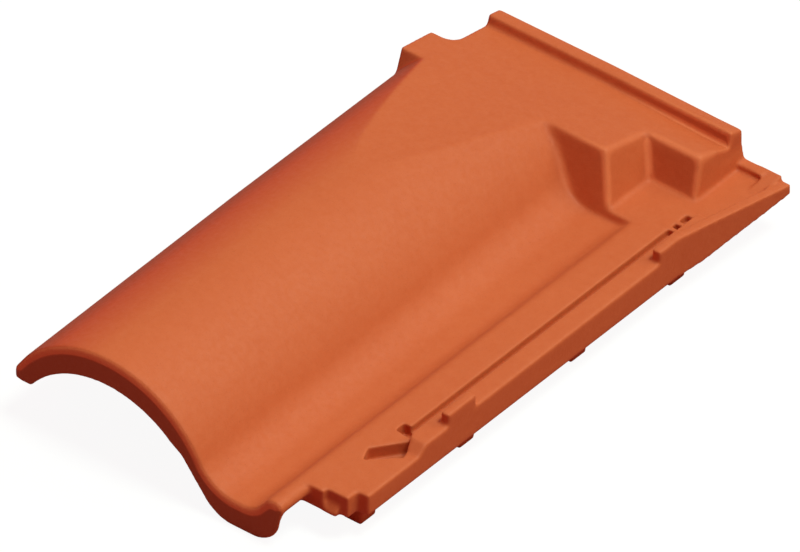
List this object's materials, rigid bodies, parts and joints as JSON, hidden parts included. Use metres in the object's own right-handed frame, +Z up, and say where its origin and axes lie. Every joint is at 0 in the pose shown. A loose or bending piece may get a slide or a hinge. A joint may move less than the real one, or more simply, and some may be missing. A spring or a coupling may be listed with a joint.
{
  "type": "clay roof tile",
  "caption": "Clay interlocking roof tile with a high roll, a pan, a side lock with groove and rim, and a flat stepped head that ends in a rib.",
  "frame": {"origin": "middle of the tile's outline, on the floor that the tile lies on", "axes": "+Y from the nose (lower edge) to the head, +X from the roll to the side lock, +Z up, out of the weather face"},
  "size_m": [0.2408, 0.42, 0.0788],
  "materials": {
    "fired_clay": "matt natural red"
  },
  "bodies": {
    "root": {"roof_tile": "fired_clay"}
  },
  "joints": []
}
